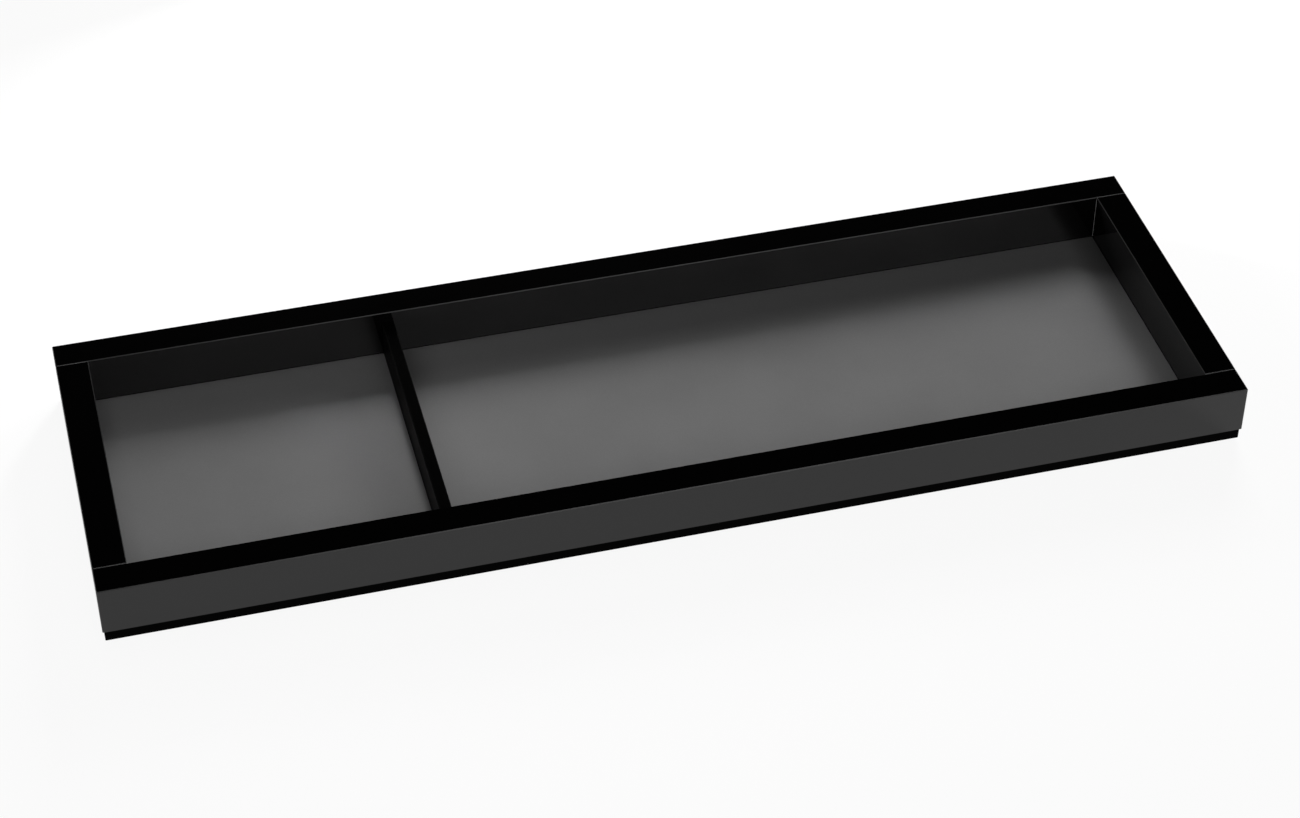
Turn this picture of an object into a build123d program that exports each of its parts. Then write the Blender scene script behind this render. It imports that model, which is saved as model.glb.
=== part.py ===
from build123d import *
import os

# A pen tray. Four gloss walls and a low divider are bonded to a base plate, a satin sheet lines the floor of each
# compartment, and four rubber pads keep the plate off the desk.
# Millimetres, +Z up. The origin is on the desk under the middle of the tray. +X runs along the tray, away from the
# short compartment, and -Y is the front.

# Frame of walls
tray_length = 280.0
tray_width = 90.0
wall_thickness = 8.0
wall_height = 13.0
wall_edge = 0.2  # leg of the polished flat along each edge of a wall

# Base plate
plate_thickness = 3.0
plate_inset = 0.4  # how far the plate stands back from the walls' outer faces
plate_edge = 0.2

# Divider
short_compartment_length = 73.3
divider_thickness = 3.0
divider_height = 10.0
divider_edge = 0.2

# Floor sheets
sheet_thickness = 0.25
sheet_clearance = 0.15  # gap between a sheet and the walls or divider around it
sheet_corner_radius = 0.5

# Rubber pads
pad_diameter = 12.0
pad_thickness = 0.6
pad_edge = 0.15
pad_margin = 8.0  # from the edges of the base plate to the rim of a pad

# Places that follow from those sizes
plate_level = pad_thickness
floor_level = plate_level + plate_thickness
plate_length = tray_length - 2 * plate_inset
plate_width = tray_width - 2 * plate_inset
inner_length = tray_length - 2 * wall_thickness
inner_width = tray_width - 2 * wall_thickness
divider_left = short_compartment_length - inner_length / 2
long_compartment_length = inner_length - short_compartment_length - divider_thickness
on_bottom = (Align.CENTER, Align.CENTER, Align.MIN)


def eased_bar(size_x, size_y, size_z, edge):
    """A bar that stands on z = 0, with a narrow flat along every edge."""
    bar = Box(size_x, size_y, size_z, align=on_bottom)
    return chamfer(bar.edges(), edge)


def long_wall(side):
    """A wall that runs the whole length of the tray, at the front (side -1) or the rear (side 1)."""
    wall = eased_bar(tray_length, wall_thickness, wall_height, wall_edge)
    return Pos(0, side * (tray_width - wall_thickness) / 2, floor_level) * wall


def end_wall(side):
    """A wall that closes the left (side -1) or right (side 1) end, butted between the long walls."""
    wall = eased_bar(wall_thickness, inner_width, wall_height, wall_edge)
    return Pos(side * (tray_length - wall_thickness) / 2, 0, floor_level) * wall


def divider():
    """The low cross strip that parts the short compartment from the long one."""
    strip = eased_bar(divider_thickness, inner_width, divider_height, divider_edge)
    return Pos(divider_left + divider_thickness / 2, 0, floor_level) * strip


def base_plate():
    """The plate that all the walls stand on."""
    plate = eased_bar(plate_length, plate_width, plate_thickness, plate_edge)
    return Pos(0, 0, plate_level) * plate


def floor_sheet(left, length):
    """A sheet with rounded corners that lines a compartment of this length, which starts at x = left."""
    sheet_length = length - 2 * sheet_clearance
    sheet_width = inner_width - 2 * sheet_clearance
    outline = RectangleRounded(sheet_length, sheet_width, sheet_corner_radius)
    return Pos(left + length / 2, 0, floor_level) * extrude(outline, sheet_thickness)


def pad(side_x, side_y):
    """A rubber disc near one corner of the base plate, with its lower rim eased."""
    disc = Cylinder(pad_diameter / 2, pad_thickness, align=on_bottom)
    lower_rim = disc.edges().filter_by(GeomType.CIRCLE).sort_by(Axis.Z)[0]
    corner_distance = pad_margin + pad_diameter / 2
    pad_x = side_x * (plate_length / 2 - corner_distance)
    pad_y = side_y * (plate_width / 2 - corner_distance)
    return Pos(pad_x, pad_y, 0) * chamfer(lower_rim, pad_edge)


nodes = {
    "base_plate": base_plate(),
    "divider": divider(),
    "short_floor_sheet": floor_sheet(-inner_length / 2, short_compartment_length),
    "long_floor_sheet": floor_sheet(divider_left + divider_thickness, long_compartment_length),
}
for end, side_y in (("front", -1), ("rear", 1)):
    nodes[f"{end}_wall"] = long_wall(side_y)
for hand, side_x in (("left", -1), ("right", 1)):
    nodes[f"{hand}_end_wall"] = end_wall(side_x)
    for end, side_y in (("front", -1), ("rear", 1)):
        nodes[f"pad_{end}_{hand}"] = pad(side_x, side_y)

os.makedirs("parts", exist_ok=True)
for name, solid in nodes.items():
    export_step(solid, f"parts/{name}.step")
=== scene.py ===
import math

import bpy
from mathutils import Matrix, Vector


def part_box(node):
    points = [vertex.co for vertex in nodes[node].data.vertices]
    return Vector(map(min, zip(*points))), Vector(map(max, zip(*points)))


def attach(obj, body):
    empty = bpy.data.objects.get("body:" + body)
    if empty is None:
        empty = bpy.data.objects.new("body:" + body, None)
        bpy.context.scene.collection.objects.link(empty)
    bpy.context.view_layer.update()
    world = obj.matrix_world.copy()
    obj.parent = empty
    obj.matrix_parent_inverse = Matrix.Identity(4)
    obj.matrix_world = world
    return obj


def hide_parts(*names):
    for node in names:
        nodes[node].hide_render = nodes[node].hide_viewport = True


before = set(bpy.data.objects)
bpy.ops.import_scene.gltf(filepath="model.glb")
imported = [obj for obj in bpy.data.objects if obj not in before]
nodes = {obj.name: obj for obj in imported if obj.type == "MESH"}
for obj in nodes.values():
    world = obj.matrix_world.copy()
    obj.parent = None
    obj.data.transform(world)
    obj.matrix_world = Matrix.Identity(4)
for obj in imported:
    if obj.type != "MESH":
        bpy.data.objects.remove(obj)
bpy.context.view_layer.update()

print("frame loaded:", len(nodes), "nodes")

millimetre = 0.001
plainWhite = (1, 1, 1, 1)
acrylicIor = 1.49
faceLimit = 0.9  # a face looks along an axis if its normal has more than this along it
noiseLow = 0.3  # most of the noise lies between these two
noiseHigh = 0.7
noiseMiddle = 0.5
noiseRoughness = 0.55
broadDetail = 4.0  # octaves of noise, for smudges, mottling and bloom
evenDetail = 3.0
fineDetail = 2.0
waveDetail = 1.0


# Helpers for node trees

def fill(tree, node, inputs):  # links what is a socket and sets what is a plain value
    for key, value in inputs.items():
        if isinstance(value, bpy.types.NodeSocket):
            tree.links.new(value, node.inputs[key])
        else:
            node.inputs[key].default_value = value


def addNode(tree, kind, inputs=None, **settings):
    made = tree.nodes.new(kind)
    for key, value in settings.items():
        setattr(made, key, value)
    fill(tree, made, inputs or {})
    return made


def calc(tree, operation, *values):  # one Math node
    return addNode(tree, "ShaderNodeMath", dict(enumerate(values)), operation=operation).outputs[0]


def remap(tree, value, fromLow, fromHigh, toLow, toHigh):  # clamped, straight
    inputs = {"Value": value, "From Min": fromLow, "From Max": fromHigh, "To Min": toLow, "To Max": toHigh}
    return addNode(tree, "ShaderNodeMapRange", inputs).outputs["Result"]


def vary(tree, noise, middle, swing):  # follows the noise from middle - swing to middle + swing
    return remap(tree, noise, noiseLow, noiseHigh, middle - swing, middle + swing)


def mixColours(tree, share, first, second):
    inputs = {0: share, 6: first, 7: second}  # factor, A and B of a colour mix
    return addNode(tree, "ShaderNodeMix", inputs, data_type="RGBA").outputs[2]


def tint(tree, colour, tone):
    return addNode(tree, "ShaderNodeVectorMath", {0: colour, "Scale": tone}, operation="SCALE").outputs[0]


def grain(tree, spot, scale, detail, stretch=(1, 1, 1)):  # noise, 0 to 1, features of 1/scale metres
    placed = addNode(tree, "ShaderNodeMapping", {"Vector": spot["Object"], "Scale": stretch})
    inputs = {"Vector": placed.outputs[0], "Scale": scale, "Detail": detail, "Roughness": noiseRoughness}
    return addNode(tree, "ShaderNodeTexNoise", inputs).outputs[0]


def bump(tree, height, depth, below=None):  # depth in metres for a height of 0 to 1
    inputs = {"Height": height, "Distance": depth, "Strength": 1.0}
    if below is not None:
        inputs["Normal"] = below
    return addNode(tree, "ShaderNodeBump", inputs).outputs[0]


def newMaterial(name):
    material = bpy.data.materials.new(name)
    material.use_nodes = True
    tree = material.node_tree
    spot = addNode(tree, "ShaderNodeTexCoord").outputs
    return material, tree, tree.nodes["Principled BSDF"], spot


def normalParts(tree, spot):  # how far a face looks along X, Y and Z, either way
    parts = addNode(tree, "ShaderNodeSeparateXYZ", {0: spot["Normal"]}).outputs
    return [calc(tree, "ABSOLUTE", part) for part in parts]


def levelFaces(tree, spot):  # 1 on faces that look up or down
    up = normalParts(tree, spot)[2]
    return calc(tree, "GREATER_THAN", up, faceLimit)


def easedFaces(tree, spot):  # 1 on the narrow flats along the edges, which look along no axis
    along, across, up = normalParts(tree, spot)
    largest = calc(tree, "MAXIMUM", calc(tree, "MAXIMUM", along, across), up)
    return calc(tree, "LESS_THAN", largest, faceLimit)


# Finishes

wallFinish = {
    "faceColour": (0.0026, 0.0025, 0.0026, 1),  # the sheet's own faces, which stand upright
    "paintedShadeColour": (0.0006, 0.0006, 0.0006, 1),  # painted shade: the tops, which are the sheets' cut edges, darker than the upright faces so they stay black under the light
    "edgeHighlightColour": (0.006, 0.006, 0.006, 1),  # painted highlight: the narrow flats along the edges, lighter than the faces for the bright lines along them
    "toneSwing": 0.12,
    "shine": 0.50,
    "faceRoughness": 0.045,
    "easedRoughness": 0.30,
    "smudgeScale": 38.0,
    "smudgeFrom": 0.5,  # noise past this is a smudge, and full from smudgeTo
    "smudgeTo": 0.75,
    "smudgeRoughness": 0.05,  # added where the surface has been handled
    "hairlineScale": 900.0,
    "hairlineStretch": (0.04, 1, 1),  # long along the tray
    "hairlineFrom": 0.55,
    "hairlineTo": 0.8,
    "hairlineRoughness": 0.03,
    "hairlineDepth": 0.15e-6,
    "waveScale": 70.0,
    "waveDepth": 0.4e-6,
}

dividerFinish = {
    **wallFinish,
    "faceColour": (0.0037, 0.0037, 0.0037, 1),
    "edgeHighlightColour": (0.0037, 0.0037, 0.0037, 1),
    "faceRoughness": 0.44,  # a satin strip, duller than the walls
    "easedRoughness": 0.50,
    "shine": 0.03,
}


def polishedAcrylic(name, finish):
    material, tree, shader, spot = newMaterial(name)
    level = levelFaces(tree, spot)
    eased = easedFaces(tree, spot)
    smudge = grain(tree, spot, finish["smudgeScale"], broadDetail)
    hairline = grain(tree, spot, finish["hairlineScale"], fineDetail, finish["hairlineStretch"])
    wave = grain(tree, spot, finish["waveScale"], waveDetail)

    # Painted shade: faces that look up or down take the darker colour, so the tops stay black under the
    # light that falls on them
    plain = mixColours(tree, level, finish["faceColour"], finish["paintedShadeColour"])
    # Painted highlight: the eased flats take a lighter colour, for the bright lines along the edges
    edgeHighlit = mixColours(tree, eased, plain, finish["edgeHighlightColour"])
    tone = vary(tree, smudge, 1.0, finish["toneSwing"])

    handled = remap(tree, smudge, finish["smudgeFrom"], finish["smudgeTo"], 0.0, finish["smudgeRoughness"])
    lineFrom, lineTo = finish["hairlineFrom"], finish["hairlineTo"]
    rubbed = remap(tree, hairline, lineFrom, lineTo, 0.0, finish["hairlineRoughness"])
    gloss = calc(tree, "ADD", calc(tree, "ADD", handled, rubbed), finish["faceRoughness"])
    scraped = calc(tree, "MULTIPLY", eased, finish["easedRoughness"])

    lines = bump(tree, hairline, finish["hairlineDepth"])
    fill(tree, shader, {
        "Base Color": tint(tree, edgeHighlit, tone),
        "Roughness": calc(tree, "MAXIMUM", gloss, scraped),
        "Normal": bump(tree, wave, finish["waveDepth"], lines),
        "Specular IOR Level": finish["shine"],
        "IOR": acrylicIor,
    })
    return material


plateFinish = {
    "colour": (0.0030, 0.0030, 0.0031, 1),
    # painted shade: the upright edges of the plate, darker for the shade in the gap under the walls
    "paintedShadeColour": (0.0009, 0.0009, 0.0009, 1),
    "toneSwing": 0.15,
    "roughness": 0.51,
    "roughnessSwing": 0.07,
    "shine": 0.01,  # the sawn edge gives back little light
    "grainScale": 2600.0,
    "grainDepth": 3.0e-6,
    "sawScale": 1500.0,
    "sawStretch": (1, 1, 0.03),  # upright marks round the edge
    "sawDepth": 6.0e-6,
}


def satinPlate(name, finish):
    material, tree, shader, spot = newMaterial(name)
    level = levelFaces(tree, spot)
    fine = grain(tree, spot, finish["grainScale"], evenDetail)
    saw = grain(tree, spot, finish["sawScale"], fineDetail, finish["sawStretch"])
    sawn = calc(tree, "SUBTRACT", 1.0, level)
    marks = bump(tree, calc(tree, "MULTIPLY", saw, sawn), finish["sawDepth"])
    # Painted shade: the plate's upright edges take the darker colour, for the shade in the gap under the
    # walls
    colour = mixColours(tree, level, finish["paintedShadeColour"], finish["colour"])
    tone = vary(tree, fine, 1.0, finish["toneSwing"])
    fill(tree, shader, {
        "Base Color": tint(tree, colour, tone),
        "Roughness": vary(tree, saw, finish["roughness"], finish["roughnessSwing"]),
        "Normal": bump(tree, fine, finish["grainDepth"], marks),
        "Specular IOR Level": finish["shine"],
        "IOR": acrylicIor,
    })
    return material


sheetFinish = {
    "colour": (0.122, 0.122, 0.122, 1),
    "deepColour": (0.114, 0.114, 0.114, 1),  # the low spots of the mottling
    "toneSwing": 0.05,
    "roughness": 0.315,
    "roughnessSwing": 0.03,
    "shine": 0.75,
    "mottleScale": 55.0,
    "mottleFrom": 0.35,
    "mottleTo": 0.65,
    "grainScale": 3200.0,
    "grainDepth": 4.0e-6,
    "dimpleScale": 900.0,
    "dimpleDepth": 3.0e-6,
}


def satinSheet(name, finish):
    material, tree, shader, spot = newMaterial(name)
    mottle = grain(tree, spot, finish["mottleScale"], broadDetail)
    fine = grain(tree, spot, finish["grainScale"], fineDetail)
    dimple = grain(tree, spot, finish["dimpleScale"], fineDetail)
    share = remap(tree, mottle, finish["mottleFrom"], finish["mottleTo"], 0.0, 1.0)
    colour = mixColours(tree, share, finish["deepColour"], finish["colour"])
    tone = vary(tree, fine, 1.0, finish["toneSwing"])
    low = bump(tree, dimple, finish["dimpleDepth"])
    fill(tree, shader, {
        "Base Color": tint(tree, colour, tone),
        "Roughness": vary(tree, mottle, finish["roughness"], finish["roughnessSwing"]),
        "Normal": bump(tree, fine, finish["grainDepth"], low),
        "Specular IOR Level": finish["shine"],
        "IOR": acrylicIor,
    })
    return material


rubberFinish = {
    "colour": (0.020, 0.020, 0.020, 1),
    "bloomColour": (0.034, 0.034, 0.035, 1),  # the pale film that rubber sweats out
    "roughness": 0.78,
    "roughnessSwing": 0.08,
    "bloomScale": 420.0,
    "bloomFrom": 0.5,
    "bloomTo": 0.75,
    "grainScale": 4200.0,
    "grainDepth": 8.0e-6,
}


def mouldedRubber(name, finish):
    material, tree, shader, spot = newMaterial(name)
    bloom = grain(tree, spot, finish["bloomScale"], broadDetail)
    fine = grain(tree, spot, finish["grainScale"], fineDetail)
    share = remap(tree, bloom, finish["bloomFrom"], finish["bloomTo"], 0.0, 1.0)
    fill(tree, shader, {
        "Base Color": mixColours(tree, share, finish["colour"], finish["bloomColour"]),
        "Roughness": vary(tree, bloom, finish["roughness"], finish["roughnessSwing"]),
        "Normal": bump(tree, fine, finish["grainDepth"]),
    })
    return material


bondFinish = {
    "colour": (0.070, 0.070, 0.070, 1),
    "thinColour": (0.050, 0.050, 0.050, 1),  # where the cement ran thin
    "paintedHighlightColour": (0.58, 0.58, 0.58, 1),  # painted highlight: inside the corners the cement is made pale, for the light line up each inner corner
    "highlightTop": 0.0160,  # metres above the desk; the painted highlight lies below this level
    "highlightWithin": 0.136,  # metres from the middle of the tray, along it
    "roughness": 0.32,
    "roughnessSwing": -0.06,  # smoother where the cement is thick
    "runScale": 700.0,
    "runFrom": 0.35,
    "runTo": 0.65,
    "runDepth": 6.0e-6,
}


def curedCement(name, finish):
    material, tree, shader, spot = newMaterial(name)
    run = grain(tree, spot, finish["runScale"], evenDetail)
    share = remap(tree, run, finish["runFrom"], finish["runTo"], 0.0, 1.0)
    clear = mixColours(tree, share, finish["thinColour"], finish["colour"])
    place = addNode(tree, "ShaderNodeSeparateXYZ", {0: spot["Object"]}).outputs
    below = calc(tree, "LESS_THAN", place["Z"], finish["highlightTop"])
    within = calc(tree, "LESS_THAN", calc(tree, "ABSOLUTE", place["X"]), finish["highlightWithin"])
    # Painted highlight: the bead's runs inside the tray, below the top, take the pale colour
    highlit = calc(tree, "MULTIPLY", below, within)
    fill(tree, shader, {
        "Base Color": mixColours(tree, highlit, clear, finish["paintedHighlightColour"]),
        "Roughness": vary(tree, run, finish["roughness"], finish["roughnessSwing"]),
        "Normal": bump(tree, run, finish["runDepth"]),
        "IOR": acrylicIor,
    })
    return material


wallMaterial = polishedAcrylic("polishedBlackWall", wallFinish)
sheetMaterial = satinSheet("satinGreySheet", sheetFinish)
finishes = {
    "front_wall": wallMaterial,
    "rear_wall": wallMaterial,
    "left_end_wall": wallMaterial,
    "right_end_wall": wallMaterial,
    "divider": polishedAcrylic("satinBlackDivider", dividerFinish),
    "base_plate": satinPlate("satinBlackPlate", plateFinish),
    "short_floor_sheet": sheetMaterial,
    "long_floor_sheet": sheetMaterial,
}
for name, material in finishes.items():
    nodes[name].material_slots[0].material = material
print("finishes set on", len(finishes), "CAD nodes")


# Geometry trees

def newTree(name, inputs):  # inputs: (label, socket type) in order; gives the tree, its inputs and its end
    tree = bpy.data.node_groups.new(name, "GeometryNodeTree")
    tree.interface.new_socket("Geometry", in_out="INPUT", socket_type="NodeSocketGeometry")
    for label, kind in inputs:
        tree.interface.new_socket(label, in_out="INPUT", socket_type=kind)
    tree.interface.new_socket("Geometry", in_out="OUTPUT", socket_type="NodeSocketGeometry")
    return tree, addNode(tree, "NodeGroupInput").outputs, addNode(tree, "NodeGroupOutput")


def closeTree(tree, geometry, material, end):  # every tree ends alike
    real = addNode(tree, "GeometryNodeRealizeInstances", {0: geometry})
    painted = addNode(tree, "GeometryNodeSetMaterial", {"Geometry": real.outputs[0], "Material": material})
    tree.links.new(painted.outputs[0], end.inputs[0])


def runTree(name, seedMesh, tree, values):  # the tree's result as a plain mesh object
    maker = bpy.data.objects.new(name + ".maker", seedMesh)
    bpy.context.scene.collection.objects.link(maker)
    modifier = maker.modifiers.new("tree", "NODES")
    modifier.node_group = tree
    for item in tree.interface.items_tree:
        if item.in_out == "INPUT" and item.name in values:
            modifier[item.identifier] = values[item.name]
    bpy.context.view_layer.update()
    evaluated = maker.evaluated_get(bpy.context.evaluated_depsgraph_get())
    mesh = bpy.data.meshes.new_from_object(evaluated)
    maker.modifiers.clear()
    bpy.data.objects.remove(maker)
    mesh.name = name
    piece = bpy.data.objects.new(name, mesh)
    bpy.context.scene.collection.objects.link(piece)
    return piece


# Cement beads, one in the grooves of each corner joint: up the inside, across the top and down the outside

bead = {
    "radius": 0.095 * millimetre,
    "unevenness": 0.25,  # share of the radius
    "step": 0.5 * millimetre,
    "runScale": 260.0,
    "cornerRadius": 0.12 * millimetre,
    "sides": 10,
    "seat": 0.11 * millimetre,  # from the walls' faces down to the middle of the bead
    "innerSeat": 0.045 * millimetre,  # the same on the upright run inside the tray, where it stands proud
    "innerGap": 0.08 * millimetre,  # from the long wall to the middle of that run
}


def beadTree():
    wanted = [
        ("Radius", "NodeSocketFloat"),
        ("Unevenness", "NodeSocketFloat"),
        ("Step", "NodeSocketFloat"),
        ("Run Scale", "NodeSocketFloat"),
        ("Corner Radius", "NodeSocketFloat"),
        ("Sides", "NodeSocketInt"),
        ("Material", "NodeSocketMaterial"),
    ]
    tree, given, end = newTree("cementBead", wanted)
    path = addNode(tree, "GeometryNodeMeshToCurve", {0: given["Geometry"]})
    inputs = {"Curve": path.outputs[0], "Radius": given["Corner Radius"], "Limit Radius": True}
    turned = addNode(tree, "GeometryNodeFilletCurve", inputs)
    inputs = {"Curve": turned.outputs[0], "Length": given["Step"]}
    even = addNode(tree, "GeometryNodeResampleCurve", inputs, mode="LENGTH")
    inputs = {"Scale": given["Run Scale"], "Detail": fineDetail}
    noise = addNode(tree, "ShaderNodeTexNoise", inputs).outputs[0]
    swing = calc(tree, "MULTIPLY", calc(tree, "SUBTRACT", noise, noiseMiddle), given["Unevenness"])
    width = calc(tree, "ADD", swing, 1.0)
    inputs = {"Resolution": given["Sides"], "Radius": given["Radius"]}
    ring = addNode(tree, "GeometryNodeCurvePrimitiveCircle", inputs)
    inputs = {"Curve": even.outputs[0], "Profile Curve": ring.outputs[0], "Scale": width, "Fill Caps": True}
    tube = addNode(tree, "GeometryNodeCurveToMesh", inputs)
    smooth = addNode(tree, "GeometryNodeSetShadeSmooth", {0: tube.outputs[0]})
    closeTree(tree, smooth.outputs[0], given["Material"], end)
    return tree


def beadPath(sideX, sideY):  # -1 for the left and the front, 1 for the right and the rear
    low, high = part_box("left_end_wall" if sideX < 0 else "right_end_wall")
    inner, outer = (high.x, low.x) if sideX < 0 else (low.x, high.x)
    joint = high.y if sideY > 0 else low.y
    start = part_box("long_floor_sheet")[1].z  # the bead starts at the floor sheet
    insideX = inner + sideX * bead["innerSeat"]
    insideY = joint - sideY * bead["innerGap"]
    outside = outer - sideX * bead["seat"]
    top = high.z - bead["seat"]
    return [
        Vector((insideX, insideY, start)),
        Vector((insideX, insideY, top)),
        Vector((insideX, joint, top)),
        Vector((outside, joint, top)),
        Vector((outside, joint, low.z + bead["seat"])),
    ]


def cementBeads():
    tree = beadTree()
    cement = curedCement("curedCement", bondFinish)
    values = {
        "Radius": bead["radius"],
        "Unevenness": bead["unevenness"],
        "Step": bead["step"],
        "Run Scale": bead["runScale"],
        "Corner Radius": bead["cornerRadius"],
        "Sides": bead["sides"],
        "Material": cement,
    }
    for end, sideY in (("front", -1), ("rear", 1)):
        for hand, sideX in (("left", -1), ("right", 1)):
            points = beadPath(sideX, sideY)
            line = bpy.data.meshes.new("beadLine")
            line.from_pydata(points, [(i, i + 1) for i in range(len(points) - 1)], [])
            piece = runTree(f"cement_bead_{end}_{hand}", line, tree, values)
            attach(piece, "root")
            print("cement bead", end, hand, len(piece.data.polygons), "faces")


cementBeads()


# Rubber pads: moulded discs with rings round the sole

padForm = {
    "rings": 5,
    "ringDepth": 0.12 * millimetre,
    "plainRim": 0.9 * millimetre,  # left smooth outside the rings
    "rimEase": 0.18 * millimetre,
    "rimShare": 0.995,  # share of the radius past which the edge is eased
    "rows": 48,
    "sides": 72,
}


def padTree():
    wanted = [
        ("Place", "NodeSocketVector"),
        ("Radius", "NodeSocketFloat"),
        ("Thickness", "NodeSocketFloat"),
        ("Rings", "NodeSocketInt"),
        ("Ring Depth", "NodeSocketFloat"),
        ("Plain Rim", "NodeSocketFloat"),
        ("Rim Ease", "NodeSocketFloat"),
        ("Rim Share", "NodeSocketFloat"),
        ("Rows", "NodeSocketInt"),
        ("Sides", "NodeSocketInt"),
        ("Material", "NodeSocketMaterial"),
    ]
    tree, given, end = newTree("ringedPad", wanted)
    inputs = {
        "Vertices": given["Sides"],
        "Side Segments": 1,
        "Fill Segments": given["Rows"],
        "Radius": given["Radius"],
        "Depth": given["Thickness"],
    }
    disc = addNode(tree, "GeometryNodeMeshCylinder", inputs, fill_type="TRIANGLE_FAN")
    spot = addNode(tree, "GeometryNodeInputPosition").outputs[0]
    flat = addNode(tree, "ShaderNodeVectorMath", {0: spot, 1: (1, 1, 0)}, operation="MULTIPLY").outputs[0]
    out = addNode(tree, "ShaderNodeVectorMath", {0: flat}, operation="LENGTH").outputs["Value"]
    height = addNode(tree, "ShaderNodeSeparateXYZ", {0: spot}).outputs["Z"]
    sole = calc(tree, "LESS_THAN", height, 0.0)

    ringed = calc(tree, "SUBTRACT", given["Radius"], given["Plain Rim"])
    turns = calc(tree, "MULTIPLY", calc(tree, "DIVIDE", out, ringed), given["Rings"])
    wave = calc(tree, "COSINE", calc(tree, "MULTIPLY", turns, math.tau))
    swell = remap(tree, wave, -1.0, 1.0, 1.0, 0.0)  # 1 at the bottom of a groove
    inside = calc(tree, "LESS_THAN", out, ringed)
    groove = calc(tree, "MULTIPLY", calc(tree, "MULTIPLY", swell, inside), given["Ring Depth"])

    edge = calc(tree, "GREATER_THAN", out, calc(tree, "MULTIPLY", given["Radius"], given["Rim Share"]))
    rim = calc(tree, "MULTIPLY", edge, given["Rim Ease"])
    rise = calc(tree, "MULTIPLY", calc(tree, "ADD", groove, rim), sole)
    lift = addNode(tree, "ShaderNodeCombineXYZ", {"Z": rise}).outputs[0]
    shaped = addNode(tree, "GeometryNodeSetPosition", {"Geometry": disc.outputs["Mesh"], "Offset": lift})
    inputs = {"Geometry": shaped.outputs[0], "Translation": given["Place"]}
    placed = addNode(tree, "GeometryNodeTransform", inputs)
    closeTree(tree, placed.outputs[0], given["Material"], end)
    return tree


def rubberPads():
    tree = padTree()
    rubber = mouldedRubber("mouldedRubber", rubberFinish)
    for end in ("front", "rear"):
        for hand in ("left", "right"):
            node = f"pad_{end}_{hand}"
            low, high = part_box(node)
            values = {
                "Place": (low + high) / 2,
                "Radius": (high.x - low.x) / 2,
                "Thickness": high.z - low.z,
                "Rings": padForm["rings"],
                "Ring Depth": padForm["ringDepth"],
                "Plain Rim": padForm["plainRim"],
                "Rim Ease": padForm["rimEase"],
                "Rim Share": padForm["rimShare"],
                "Rows": padForm["rows"],
                "Sides": padForm["sides"],
                "Material": rubber,
            }
            piece = runTree(f"ringed_pad_{end}_{hand}", bpy.data.meshes.new("padSeed"), tree, values)
            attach(piece, "root")
            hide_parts(node)
            print("rubber pad", end, hand, len(piece.data.polygons), "faces")


rubberPads()


# Floor, light and camera

floorForm = {
    "radius": 12.0,
    "sides": 96,
    "colour": (0.90, 0.90, 0.90, 1),
    "white": 0.92,  # share of plain white that the camera sees, over the lit floor
    "mirroredWhite": 0.72,  # the same in reflections
}


def floorMaterial():
    material = bpy.data.materials.new("paleFloor")
    material.use_nodes = True
    tree = material.node_tree
    tree.nodes.clear()
    path = addNode(tree, "ShaderNodeLightPath").outputs
    mirrored = calc(tree, "MAXIMUM", path["Is Glossy Ray"], path["Is Transmission Ray"])
    mirroredShare = calc(tree, "MULTIPLY", mirrored, floorForm["mirroredWhite"])
    seenShare = calc(tree, "MULTIPLY", path["Is Camera Ray"], floorForm["white"])
    share = calc(tree, "MAXIMUM", mirroredShare, seenShare)
    lit = addNode(tree, "ShaderNodeBsdfDiffuse", {"Color": floorForm["colour"]})
    white = addNode(tree, "ShaderNodeEmission", {"Color": plainWhite, "Strength": 1.0})
    mixed = addNode(tree, "ShaderNodeMixShader", {0: share, 1: lit.outputs[0], 2: white.outputs[0]})
    addNode(tree, "ShaderNodeOutputMaterial", {"Surface": mixed.outputs[0]})
    return material


def paleFloor():
    count = floorForm["sides"]
    angles = [math.tau * i / count for i in range(count)]
    ring = [Vector((math.cos(angle), math.sin(angle), 0)) * floorForm["radius"] for angle in angles]
    mesh = bpy.data.meshes.new("pale_floor")
    mesh.from_pydata(ring, [], [list(range(count))])
    mesh.materials.append(floorMaterial())
    floor = bpy.data.objects.new("pale_floor", mesh)
    bpy.context.scene.collection.objects.link(floor)


room = {
    "strength": 0.30,  # pale walls all round, up to a dark ceiling
    "paleTo": 18.0,  # degrees above the horizon
    "darkFrom": 31.0,
}


def studioRoom():
    world = bpy.data.worlds.new("studioRoom")
    world.use_nodes = True
    tree = world.node_tree
    spot = addNode(tree, "ShaderNodeTexCoord").outputs["Generated"]
    up = addNode(tree, "ShaderNodeSeparateXYZ", {0: spot}).outputs["Z"]
    low, high = (math.sin(math.radians(room[key])) for key in ("paleTo", "darkFrom"))
    strength = remap(tree, up, low, high, room["strength"], 0.0)
    fill(tree, tree.nodes["Background"], {"Color": plainWhite, "Strength": strength})
    bpy.context.scene.world = world


def heading(turn, rise):  # degrees; 0, 0 points to the rear, and turn goes on towards the right
    turn = math.radians(turn)
    rise = math.radians(rise)
    return Vector((math.sin(turn) * math.cos(rise), math.cos(turn) * math.cos(rise), math.sin(rise)))


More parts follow.
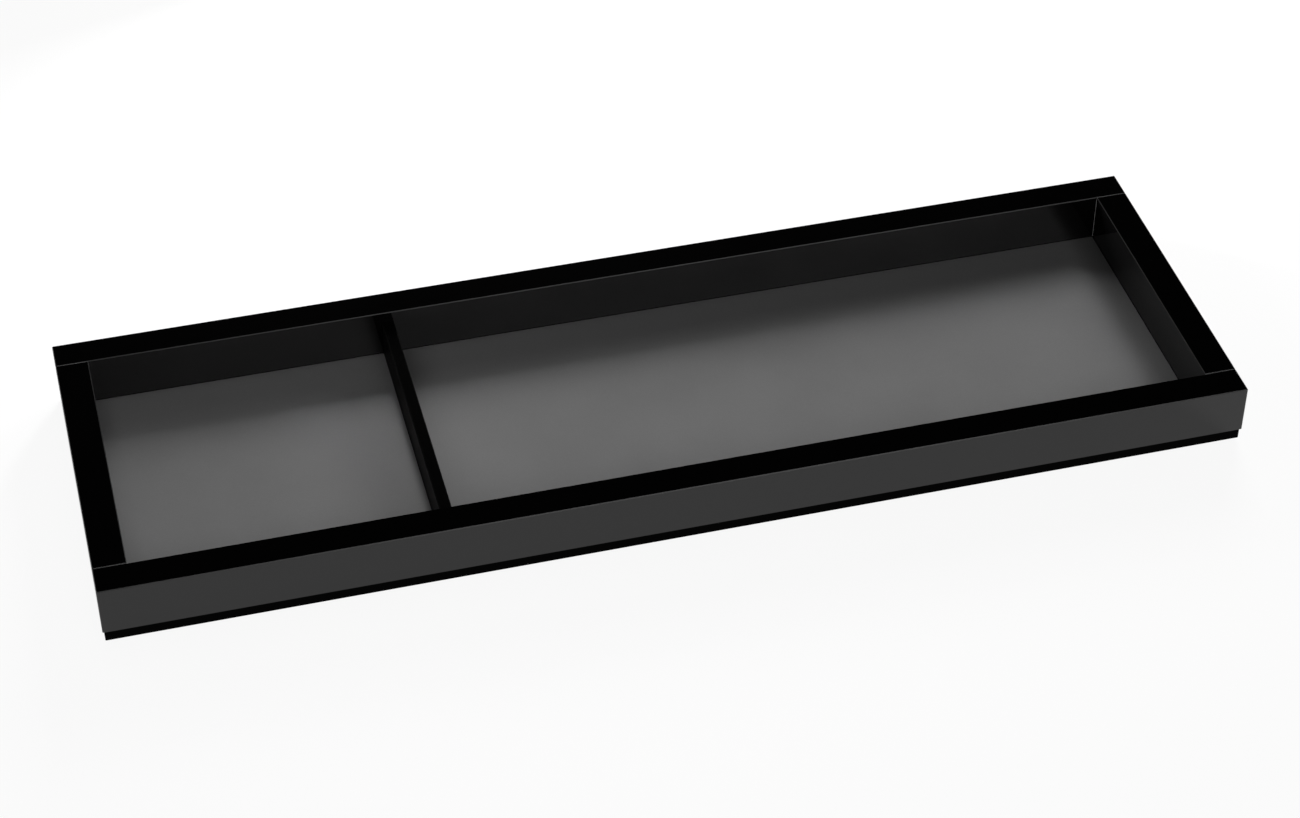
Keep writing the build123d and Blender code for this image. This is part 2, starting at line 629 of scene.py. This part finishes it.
softboxes = {
    "rightBox": {  # behind the right end, for the shade along the right wall
        "azimuth": 41.7,  # degrees from the rear towards the right
        "elevation": 24.7,
        "distance": 0.44,
        "width": 0.195,
        "height": 0.20,
        "radiance": 16.6,
        "mirrored": False,
    },
    "stripBox": {  # narrow and in line with the divider, so that the divider throws little shadow
        "azimuth": -14.7,
        "elevation": 24.2,
        "distance": 0.212,
        "width": 0.017,
        "height": 0.087,
        "radiance": 182.0,
        "mirrored": False,
    },
    "leftBox": {  # small and near, so that its light falls off along the tray
        "azimuth": 272.0,
        "elevation": 48.8,
        "distance": 0.203,
        "width": 0.12,
        "height": 0.11,
        "radiance": 1.75,
        "mirrored": False,
    },
    "frontBox": {  # its sheen on the floor sheets is what the inside of the rear wall mirrors
        "azimuth": 166.0,
        "elevation": 36.0,
        "distance": 1.5,
        "width": 0.80,
        "height": 0.24,
        "radiance": 4.8,
        "mirrored": True,
    },
    "edgeBox": {  # a strip that gives the eased edges their bright lines
        "azimuth": 164.5,
        "elevation": 48.5,
        "distance": 1.5,
        "width": 0.80,
        "height": 0.12,
        "radiance": 3.2,
        "mirrored": True,
    },
}


def addSoftbox(name, setup):
    away = heading(setup["azimuth"], setup["elevation"])
    light = bpy.data.lights.new(name, "AREA")
    light.shape = "RECTANGLE"
    light.size = setup["width"]
    light.size_y = setup["height"]
    light.energy = setup["radiance"] * math.pi * setup["width"] * setup["height"]
    lamp = bpy.data.objects.new(name, light)
    lamp.location = away * setup["distance"]
    lamp.rotation_euler = (-away).to_track_quat("-Z", "Y").to_euler()
    lamp.visible_glossy = setup["mirrored"]
    lamp.visible_camera = False
    bpy.context.scene.collection.objects.link(lamp)


shot = {
    "lens": 85.38,
    "sensorWidth": 36.0,
    "turn": 14.625,  # degrees, from straight ahead towards the right
    "tilt": 40.968,  # degrees, down
    "distance": 0.7647,
    "aim": Vector((1.0, -0.78, 3.6)) * millimetre,
    "clipStart": 0.01,
}


def addCamera():
    ahead = heading(shot["turn"], -shot["tilt"])
    data = bpy.data.cameras.new("shot")
    data.lens = shot["lens"]
    data.sensor_fit = "HORIZONTAL"
    data.sensor_width = shot["sensorWidth"]
    data.clip_start = shot["clipStart"]
    camera = bpy.data.objects.new("shot", data)
    camera.location = shot["aim"] - ahead * shot["distance"]
    camera.rotation_euler = ahead.to_track_quat("-Z", "Y").to_euler()
    bpy.context.scene.collection.objects.link(camera)
    bpy.context.scene.camera = camera


paleFloor()
studioRoom()
for name, setup in softboxes.items():
    addSoftbox(name, setup)
addCamera()
bpy.context.scene.view_settings.view_transform = "Standard"
print("floor, room,", len(softboxes), "softboxes and camera placed")
